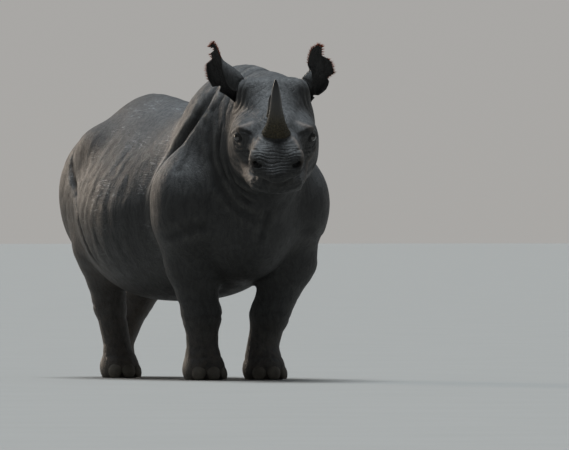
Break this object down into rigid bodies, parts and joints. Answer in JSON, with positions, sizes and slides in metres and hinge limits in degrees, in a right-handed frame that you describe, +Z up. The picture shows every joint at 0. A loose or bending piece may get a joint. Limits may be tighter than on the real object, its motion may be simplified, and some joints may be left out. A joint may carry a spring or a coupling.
{
  "type": "black rhinoceros model",
  "caption": "Life-size still model of a standing black rhinoceros, head raised and turned to its right, with a long front horn, a short rear horn and torn ears.",
  "frame": {"origin": "on the floor, under the middle of the model's bounding box", "axes": "+Z up from the floor; -Y is the way the trunk faces; +X is the animal's left side"},
  "size_m": [0.9894, 2.7288, 1.6758],
  "materials": {
    "hide": "dry, wrinkled, dusty dark grey hide",
    "horn": "fibrous keratin, rough and yellow-brown at the base, dark and smooth at the tip",
    "eyeball": "wet, glossy, dark brown",
    "nail": "dull, chipped, dusty keratin"
  },
  "bodies": {
    "root": {"trunk": "hide", "neck": "hide", "head": "hide", "tail": "hide", "horn_front": "horn", "horn_rear": "horn", "eye_left": "eyeball", "ear_left": "hide", "eye_right": "eyeball", "ear_right": "hide", "leg_front_left": "hide", "foot_front_left": "hide", "nail_front_left_outer": "nail", "nail_front_left_middle": "nail", "nail_front_left_inner": "nail", "leg_front_right": "hide", "foot_front_right": "hide", "nail_front_right_outer": "nail", "nail_front_right_middle": "nail", "nail_front_right_inner": "nail", "leg_hind_left": "hide", "foot_hind_left": "hide", "nail_hind_left_outer": "nail", "nail_hind_left_middle": "nail", "nail_hind_left_inner": "nail", "leg_hind_right": "hide", "foot_hind_right": "hide", "nail_hind_right_outer": "nail", "nail_hind_right_middle": "nail", "nail_hind_right_inner": "nail"}
  },
  "joints": []
}
